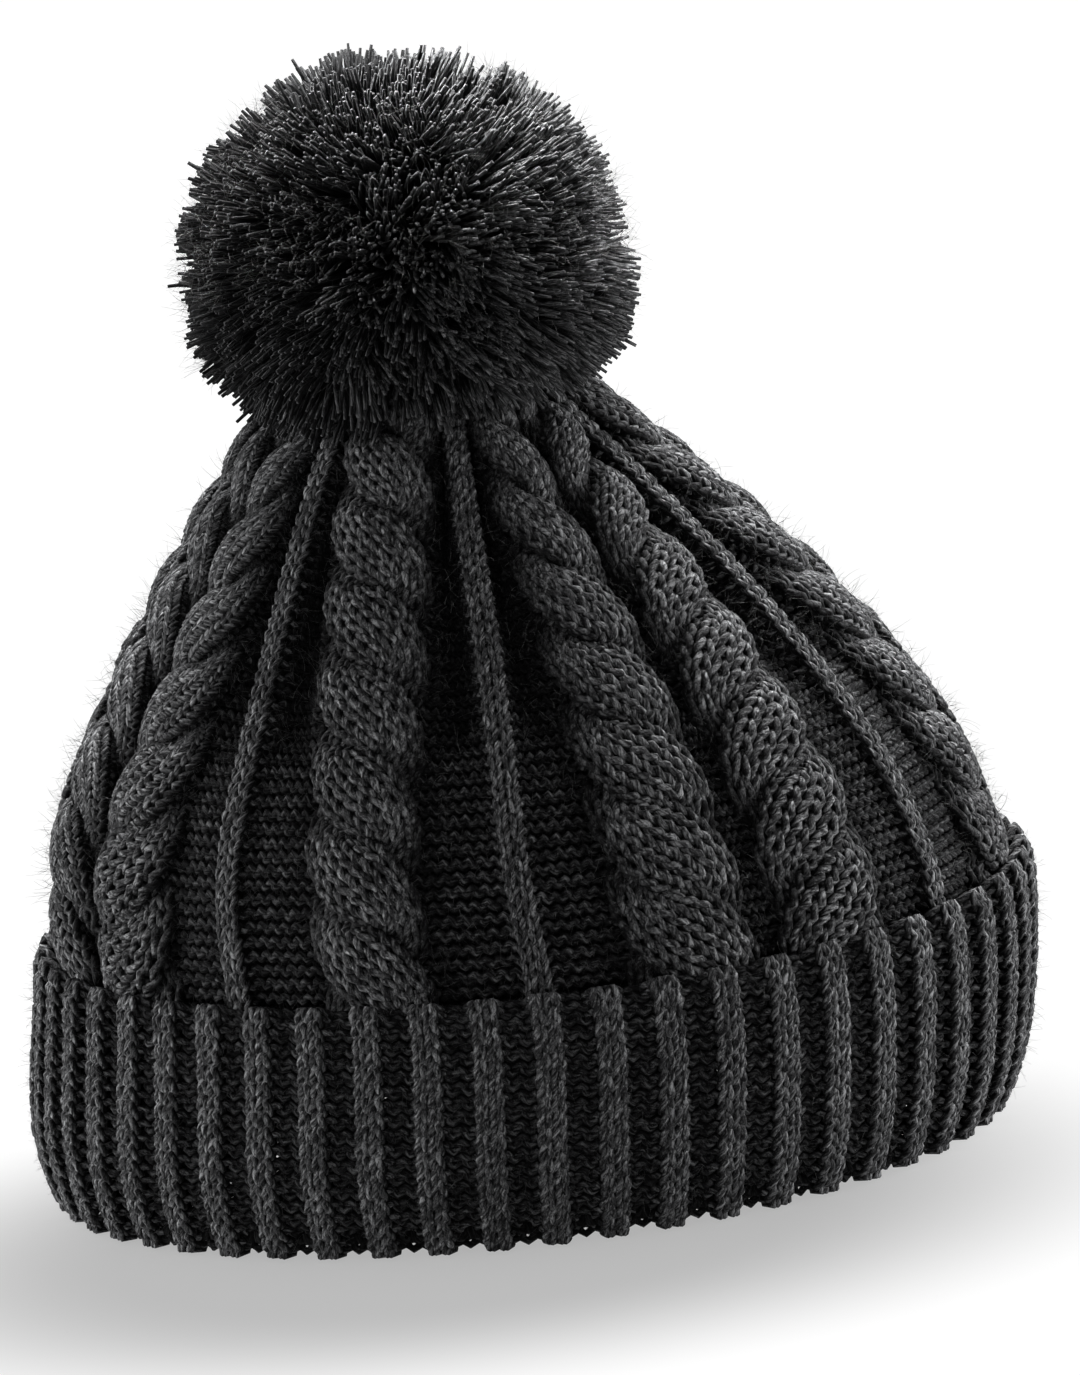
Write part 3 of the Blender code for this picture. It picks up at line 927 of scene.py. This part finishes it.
def strand_paths(count):
    """Paths of the strands, drawn together in tufts, and the directions that they set out in."""
    aim = even_directions(count)
    aim = unit(aim + RANDOM.normal(size=aim.shape) * STRAND_SCATTER)
    tufts = unit(even_directions(TUFTS) + RANDOM.normal(size=(TUFTS, 3)) * TUFT_SCATTER)
    tuft = np.argmax(aim @ tufts.T, axis=1)
    gathered = unit(aim + tufts[tuft] * RANDOM.uniform(*TUFT_PULLS, TUFTS)[tuft][:, None])
    gathered = unit(gathered + RANDOM.normal(size=aim.shape) * TUFT_SCATTER)
    uneven_tufts = np.clip(RANDOM.normal(size=TUFTS) * TUFT_UNEVEN, *TUFT_LENGTHS)
    length = STRAND_LENGTH + uneven_tufts[tuft] - np.abs(RANDOM.normal(size=count)) * STRAND_UNEVEN
    length += (RANDOM.uniform(size=count) < LONG_STRANDS) * RANDOM.uniform(0.0, LONG_BY, count)
    tip = POMPOM_MIDDLE + gathered * POMPOM_SIZE * length[:, None]
    root = np.array([POMPOM_X, 0, POMPOM_Z]) + RANDOM.normal(size=aim.shape)
    t = np.linspace(STRAND_ROOT, 1, STRAND_POINTS)[None, :, None]
    sway = RANDOM.normal(size=(TUFTS, 1, 3))[tuft] * TUFT_SWAY
    sway = sway + RANDOM.normal(size=(count, 1, 3)) * STRAND_SWAY
    return root[:, None] + (tip - root)[:, None] * t + sway * np.sin(np.pi * t), aim


def make_pompom():
    paths, aim = strand_paths(STRANDS)
    pinned = over_crown(paths[:, -1]) < NOD_ROOM
    for _ in range(TRIM_ROUNDS):
        low = over_crown(paths[:, -1]) < CROWN_TOUCH
        paths[low, 1:] = paths[low, :1] + (paths[low, 1:] - paths[low, :1]) * TRIM
    keep = np.linalg.norm(paths[:, -1] - paths[:, 0], axis=-1) > SHORTEST_STRAND
    keep &= over_crown(paths).min(axis=1) > CROWN_GAP
    sector = (np.arctan2(aim[:, 1], aim[:, 0]) + np.pi) / (2 * np.pi) * POMPOM_SECTORS
    sector = sector.astype(int) % POMPOM_SECTORS
    groups = {"pompom_skirt": pinned & keep}
    for number in range(POMPOM_SECTORS):
        groups[f"pompom_strands_{number + 1}"] = (sector == number) & ~pinned & keep
    for name, chosen in groups.items():
        some = paths[chosen]
        across = unit(np.cross(unit(some[:, -1] - some[:, 0]), np.array([0.3, 0.2, 1.0])))
        normals = np.broadcast_to(across[:, None], some.shape)
        yarns = Yarns(STRAND_SIDES)
        size = STRAND_RADIUS * RANDOM.uniform(0.8, 1.15, (len(some), 1)) * np.array(STRAND_TAPER)
        # Painted shade: each strand darker towards the pompom's middle and lighter at its tip.
        lift = np.broadcast_to(np.linspace(0.1, 1.0, STRAND_POINTS) ** 2.5, size.shape)
        yarns.add(some, normals, size, (lift, 0.0))
        piece = yarns.mesh(name, pompom_look)
        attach(piece, "hat" if name == "pompom_skirt" else "pompom")
        if name == "pompom_strands_1":
            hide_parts("pompom_yarn")


# ---------------- tie, seam and label


def route_through(node, count, margin):
    """Middle points of a long thin upright node, from its foot to its top."""
    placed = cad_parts[node]
    corners = np.array([placed.matrix_world @ vertex.co for vertex in placed.data.vertices]) / MM
    at = np.linspace(corners[:, 2].min() + margin, corners[:, 2].max() - margin, count)
    reach = 2.2  # more than the node's own spacing of points
    return np.array([[*corners[np.abs(corners[:, 2] - z) <= reach].mean(0)[:2], z] for z in at])


def twisted(route, strands, reach, twist):
    """Paths and outward directions of strands that wind round an upright route at a distance from it."""
    step = np.linalg.norm(np.diff(route, axis=0), axis=1)
    along = np.concatenate([[0], np.cumsum(step)])
    ahead = unit(np.gradient(route, axis=0))
    side = unit(np.cross(ahead, np.array([1.0, 0.0, 0.0])))
    other = np.cross(side, ahead)
    turn = twist * along + 2 * np.pi * np.arange(strands)[:, None] / strands
    out = side * np.cos(turn)[..., None] + other * np.sin(turn)[..., None]
    return route + reach * out, out


def hidden_piece(node, body, slot, paths, outward, radius, closed=False):
    """Yarn in place of one CAD node."""
    yarns = Yarns()
    # Painted shade at a fixed middle level, lighter on each yarn's outer face.
    lift = np.full(paths.shape[:2], 0.4)
    yarns.add(paths, outward, radius, (lift, 0.6), closed=closed)
    piece = yarns.mesh(node + "_yarn", hidden_looks[slot])
    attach(piece, body)
    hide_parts(node)


def upright_line(x, low, high, step=0.4):
    heights = np.arange(low, high, step)
    return np.stack([np.full_like(heights, x), np.zeros_like(heights), heights], -1)


def make_ties():
    """The binding round the pompom's middle, its twisted tails, the knot and its two cut ends."""
    binding_outer = (binding_high.x - binding_low.x) / MM / 2
    coils = []
    for reach in (binding_outer - TIE_RADIUS, binding_outer - 3 * TIE_RADIUS):
        line = upright_line(POMPOM_X, binding_low.z / MM + 1.0, binding_high.z / MM - 1.0, 0.06)
        coils.append(twisted(line, 1, reach, 2 * np.pi / (2 * TIE_RADIUS)))
    paths = np.concatenate([coil[0] for coil in coils])
    outward = np.concatenate([coil[1] for coil in coils])
    hidden_piece("pompom_binding", "stem", "tie_yarn", paths, outward, TIE_RADIUS)
    low, high = (corner.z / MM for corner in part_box("pompom_tie_tails"))
    line = upright_line(POMPOM_X, low + 0.2, high - 0.2)
    paths, outward = twisted(line, 2, TAIL_RADIUS, 2 * np.pi / TAIL_TURN)
    hidden_piece("pompom_tie_tails", "stem", "tie_yarn", paths, outward, TAIL_RADIUS)
    for side in ("left", "right"):
        route = route_through(f"tie_end_{side}", 30, TAIL_RADIUS)
        paths, outward = twisted(route, 2, END_REACH, 2 * np.pi / TAIL_TURN)
        hidden_piece(f"tie_end_{side}", "knot", "tie_yarn", paths, outward, END_RADIUS)
    low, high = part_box("tie_knot")
    middle = np.array([(low.x + high.x) / 2, 0, (low.z + high.z) / 2]) / MM
    turn = 2 * np.pi * np.arange(40) / 40
    rings = []
    for lean in np.radians(KNOT_LEANS):
        for shift in KNOT_SHIFTS:
            size = math.sqrt((high.z - low.z) ** 2 / 4 / MM**2 - shift**2) - TIE_RADIUS
            ring = np.stack([size * np.cos(turn), np.full_like(turn, shift), size * np.sin(turn)], -1)
            rings.append(ring @ np.array(Matrix.Rotation(lean, 3, "Z")).T)
    rings = np.array(rings)
    hidden_piece("tie_knot", "knot", "tie_yarn", rings + middle, unit(rings), TIE_RADIUS, closed=True)


def make_gather():
    """The drawn-up yarn ring that closes the crown's last course."""
    low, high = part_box("crown_gather_yarn")
    thick = (high.z - low.z) / MM / 2
    turn = 2 * np.pi * np.arange(48) / 48
    outward = np.stack([np.cos(turn), np.sin(turn), np.zeros_like(turn)], -1)[None]
    middle = np.array([(low.x + high.x) / 2, 0, (low.z + high.z) / 2]) / MM
    paths = middle + outward * ((high.x - low.x) / MM / 2 - thick)
    hidden_piece("crown_gather_yarn", "hat", "tie_yarn", paths, outward, thick * 0.97, closed=True)


def lean(z):
    """How far the hat's middle stands to the right at a height."""
    return np.interp(z, LEAN_Z, LEAN_X)


def faces_across(node, z, angle):
    """Distances of a node's near and far faces from the hat's middle, at a height and an angle from +X."""
    tree, middle, far = cad_tree(node), Vector((float(lean(z)) * MM, 0, z * MM)), 0.3
    aim = Vector((math.cos(angle), math.sin(angle), 0))
    near = tree.ray_cast(middle, aim)[3]
    return near / MM, (far - tree.ray_cast(middle + aim * far, -aim)[3]) / MM


def make_seam():
    low, high = (corner.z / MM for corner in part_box("back_seam"))
    heights = np.linspace(low + 1.5, high - 2.0, 40)
    behind = np.array([sum(faces_across("back_seam", z, math.pi / 2)) / 2 for z in heights])
    fine = np.linspace(heights[0], heights[-1], 300)
    route = np.stack([lean(fine), np.interp(fine, heights, behind), fine], -1)
    paths, outward = twisted(route, 2, SEAM_REACH, 2 * np.pi / SEAM_TURN)
    hidden_piece("back_seam", "hat", "seam_yarn", paths, outward, SEAM_RADIUS)


def closed_strip(name, centre, normal, thickness, look):
    """A thin closed strip about a grid of points (rows, columns, 3)."""
    rows, columns = centre.shape[:2]
    points = np.stack([centre + normal * thickness / 2, centre - normal * thickness / 2])
    front, back = np.arange(2 * rows * columns).reshape(2, rows, columns)
    square = ((0, 0), (0, 1), (1, 1), (1, 0))
    faces = []
    for row in range(rows - 1):
        for column in range(columns - 1):
            faces.append([front[row + a, column + b] for a, b in square])
            faces.append([back[row + a, column + b] for a, b in reversed(square)])
    rim = [(0, column) for column in range(columns)]
    rim += [(row, columns - 1) for row in range(1, rows)]
    rim += [(rows - 1, column) for column in reversed(range(columns - 1))]
    rim += [(row, 0) for row in reversed(range(1, rows - 1))]
    for here, there in zip(rim, rim[1:] + rim[:1]):
        faces.append([front[here], back[here], back[there], front[there]])
    made = bpy.data.meshes.new(name)
    made.from_pydata(points.reshape(-1, 3) * MM, [], [[int(i) for i in face] for face in faces])
    return as_piece(made, look)


def make_label():
    """A blank tape label, folded at its foot, with both ends at its top."""
    low, high = (corner.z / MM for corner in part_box("care_label"))
    inner, outer = faces_across("care_label", (low + high) / 2, sum(LABEL_ANGLES) / 2)
    angles = np.linspace(*LABEL_ANGLES, LABEL_COLUMNS)
    down = np.linspace(high - 0.3, low + 0.6, LABEL_ROWS)
    height = np.concatenate([down, down[::-1]])[:, None]
    layers = outer - (outer - inner) * np.array([0.25, 0.75])
    radius = np.repeat(layers, LABEL_ROWS)[:, None]
    x, y = lean(height) + radius * np.cos(angles), radius * np.sin(angles)
    centre = np.stack(np.broadcast_arrays(x, y, height), -1)
    outward = np.stack([np.cos(angles), np.sin(angles), np.zeros_like(angles)], -1)
    facing = np.repeat([1.0, -1.0], LABEL_ROWS)[:, None, None] * outward
    piece = closed_strip("care_label_tape", centre, facing, TAPE_THICKNESS, tape_look)
    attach(piece, "hat")
    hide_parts("care_label")
    make_label_thread(inner)


def make_label_thread(inner):
    """Thread that runs in waves along the label's top, on the face nearest to the hat's middle."""
    low, high = (corner.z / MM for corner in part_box("label_thread"))
    share = np.linspace(*THREAD_SPAN, 160)
    angle = LABEL_ANGLES[0] + (LABEL_ANGLES[1] - LABEL_ANGLES[0]) * share
    swing = (high - low) / 2 - THREAD_RADIUS
    z = (low + high) / 2 + swing * np.sin(2 * np.pi * THREAD_WAVES * share)
    radius = inner - THREAD_RADIUS - 0.1
    path = np.stack([lean(z) + radius * np.cos(angle), radius * np.sin(angle), z], -1)[None]
    outward = np.stack([-np.cos(angle), -np.sin(angle), np.zeros_like(angle)], -1)[None]
    hidden_piece("label_thread", "hat", "label_thread", path, outward, THREAD_RADIUS)


# ---------------- fuzz


def fuzz_piece(name, roots, outward, lengths, body):
    """Loose fibres that stand off the yarn, each a thin bent needle."""
    aim = unit(outward + RANDOM.normal(size=outward.shape) * FUZZ_SPREAD)
    curl = unit(np.cross(aim, RANDOM.normal(size=outward.shape)))
    t = np.linspace(0, 1, FUZZ_POINTS)[None, :, None]
    bend = aim[:, None] * t + curl[:, None] * FUZZ_CURL * t**2
    paths = roots[:, None] + lengths[:, None, None] * bend
    paths = paths[paths[:, :, 2].min(axis=1) > FLOOR_ROOM]
    normals = np.broadcast_to(np.array([0.6, 0.0, 0.8]), paths.shape)
    radii = FUZZ_RADIUS * np.linspace(1.0, FUZZ_TIP, FUZZ_POINTS)
    yarns = Yarns(3)
    yarns.add(paths, normals, radii, (np.ones(paths.shape[:2]), 0.0))
    piece = yarns.mesh(name, fuzz_look)
    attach(piece, body)


def fuzz_over(section, low, high, depths, count):
    """Roots and outward directions of fibres scattered evenly over a section."""
    along = RANDOM.uniform(low, high, count * 3)
    keep = RANDOM.uniform(0, section.radius.max(), count * 3) < section.radius_at(along)
    along = along[keep][:count]
    angle = RANDOM.uniform(-np.pi, np.pi, len(along))
    return section.place(angle, along, RANDOM.uniform(*depths, len(along)))


def make_fuzz():
    roots, outward = fuzz_over(CROWN, 2.0, CROWN_ROWS * ROW_PITCH, (-5.0, 0.2), CROWN_FUZZ)
    lengths = RANDOM.uniform(1.5, 5.0, len(roots))
    fuzz_piece("crown_fuzz", roots, outward, lengths, "hat")
    roots, outward = fuzz_over(CUFF, 1.0, CUFF.along[np.argmin(CUFF.z)] - 4.0, (-1.5, 1.2), CUFF_FUZZ)
    lengths = RANDOM.uniform(1.2, 4.0, len(roots))
    fuzz_piece("cuff_fuzz", roots, outward, lengths, "hat")
    outward = unit(RANDOM.normal(size=(POMPOM_FUZZ, 3)))
    roots = POMPOM_MIDDLE + outward * POMPOM_SIZE * 0.93
    clear = over_crown(roots) > NOD_ROOM
    lengths = RANDOM.uniform(2.0, 6.0, clear.sum())
    fuzz_piece("pompom_fuzz", roots[clear], outward[clear], lengths, "pompom")


# ---------------- studio


def make_floor():
    """A pale floor with painted glow that rises the further it is from the hat, which leaves a painted
    shadow round the hat that fades out.
    """
    made = bpy.data.materials.new("studio_floor")
    graph = Graph(made)
    place = graph.add("TexCoord", {})["Object"]
    away = graph.add("VectorMath", {0: place, 1: SHADOW_PLACE}, operation="DISTANCE")["Value"]
    surface = {
        "Base Color": (FLOOR_GREY, FLOOR_GREY, FLOOR_GREY, 1.0),
        "Roughness": 0.9,
        "Specular IOR Level": 0.0,
        "Emission Color": (1.0, 1.0, 1.0, 1.0),
        "Emission Strength": graph.value_range(away, *GLOW_REACH, *FLOOR_GLOW),
    }
    graph.fill(graph.nodes["Principled BSDF"], surface)
    mesh = bpy.data.meshes.new("studio_floor")
    corners = [(x * FLOOR_HALF, y * FLOOR_HALF, 0) for x, y in ((-1, -1), (1, -1), (1, 1), (-1, 1))]
    mesh.from_pydata(corners, [], [(0, 1, 2, 3)])
    mesh.materials.append(made)
    floor = bpy.data.objects.new("studio_floor", mesh)
    bpy.context.scene.collection.objects.link(floor)


def make_sky():
    """Dim in front of the hat and brighter behind it."""
    world = bpy.data.worlds.new("studio")
    graph = Graph(world)
    direction = graph.add("TexCoord", {})["Generated"]
    backward = graph.add("SeparateXYZ", {"Vector": direction})["Y"]
    level = graph.value_range(backward, *SKY_TURN, *SKY_LEVELS)
    graph.fill(graph.nodes["Background"], {"Color": (1.0, 1.0, 1.0, 1.0), "Strength": level})
    bpy.context.scene.world = world


def area_light(name, place, target, width, height, power, spread):
    data = bpy.data.lights.new(name, "AREA")
    data.shape = "RECTANGLE"
    data.size, data.size_y = width, height
    data.energy = power
    data.spread = math.radians(spread)
    light = bpy.data.objects.new(name, data)
    light.location = place
    aim = Vector(target) - Vector(place)
    light.rotation_euler = aim.to_track_quat("-Z", "Y").to_euler()
    bpy.context.scene.collection.objects.link(light)
    return light


def make_lights():
    """Some lights are kept off the floor, which they would burn out, and one is for the pompom alone."""
    meshes = [piece for piece in bpy.context.scene.objects if piece.type == "MESH"]
    groups = {
        "hat": [piece for piece in meshes if piece.name != "studio_floor"],
        "pompom": [piece for piece in meshes if piece.name.startswith("pompom")],
    }
    lit = {}
    for name, pieces in groups.items():
        lit[name] = bpy.data.collections.new(f"lit_{name}")
        for piece in pieces:
            lit[name].objects.link(piece)
    for *settings, group in LIGHTS:
        light = area_light(*settings)
        if group in lit:
            light.light_linking.receiver_collection = lit[group]


make_cuff()
make_crown()
make_lining()
make_pompom()
make_ties()
make_gather()
make_seam()
make_label()
make_fuzz()
make_floor()
make_sky()
make_lights()
bpy.context.scene.view_settings.view_transform = "Standard"
